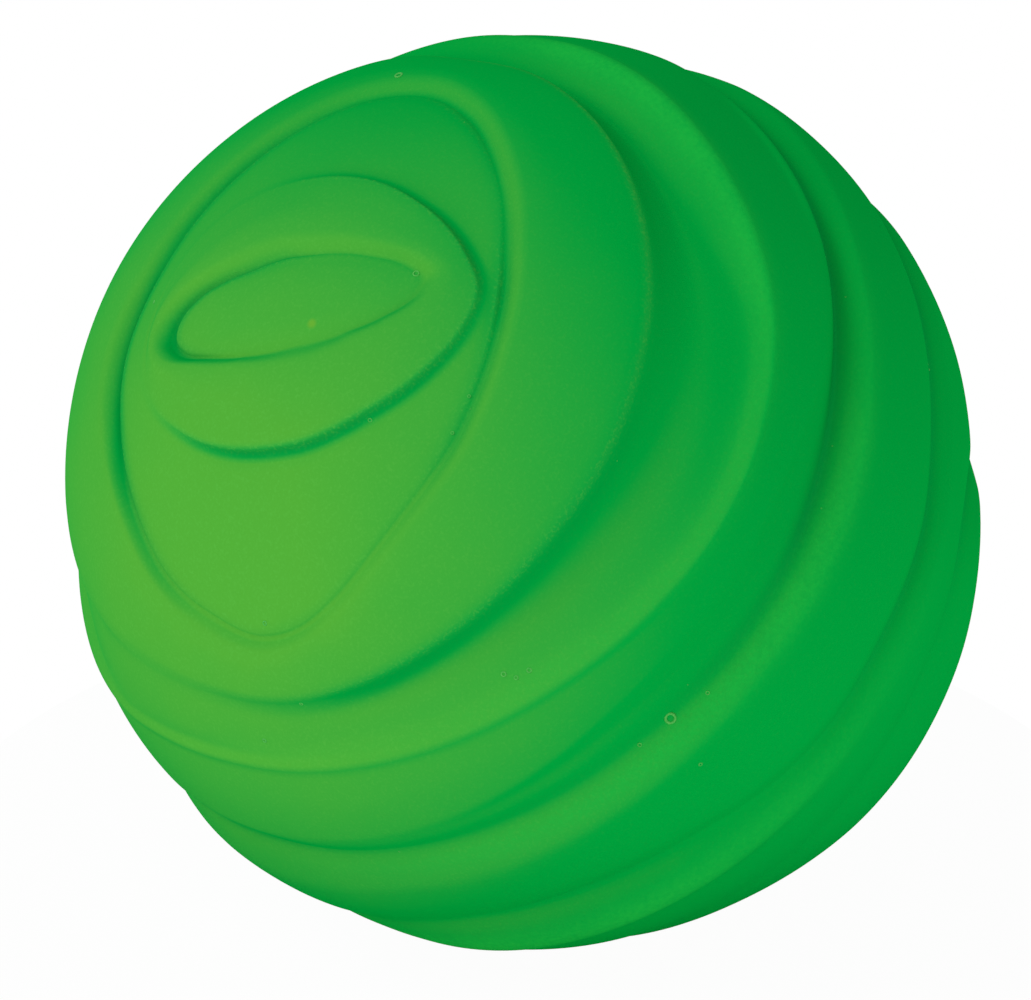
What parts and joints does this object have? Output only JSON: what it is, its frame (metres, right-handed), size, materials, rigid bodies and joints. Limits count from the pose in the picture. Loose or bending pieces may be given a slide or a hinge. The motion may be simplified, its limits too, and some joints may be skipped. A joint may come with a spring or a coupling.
{
  "type": "rubber ball",
  "caption": "Hollow latex ball with a moulded relief of nested stepped bands round a leaf-shaped eye, and a snap-in squeaker in its base.",
  "frame": {"origin": "the ball's centre", "axes": "+Z away from the squeaker, which points down; -Y is the side that the eye of the relief looks out of, tilted up by 45 degrees"},
  "size_m": [0.0651, 0.0651, 0.0647],
  "materials": {
    "green_latex": "matt natural latex with a fine grain",
    "white_plastic": "moulded, satin",
    "board_plastic": "moulded, satin",
    "clamp_plastic": "moulded, satin",
    "clear_film": "thin smooth film"
  },
  "bodies": {
    "ball": {"ball_skin": "green_latex", "squeaker_body": "white_plastic", "tone_board": "board_plastic", "reed_clamp": "clamp_plastic"},
    "reed_tongue": {"reed": "clear_film"}
  },
  "joints": [
    {"name": "reed_flex", "type": "hinge", "parent": "ball", "child": "reed_tongue", "pos_m": [0, 0, -0.02568], "axis": [-1, 0, 0], "range_deg": [-3, 3], "stiffness_Nm_per_rad": 0.001}
  ]
}
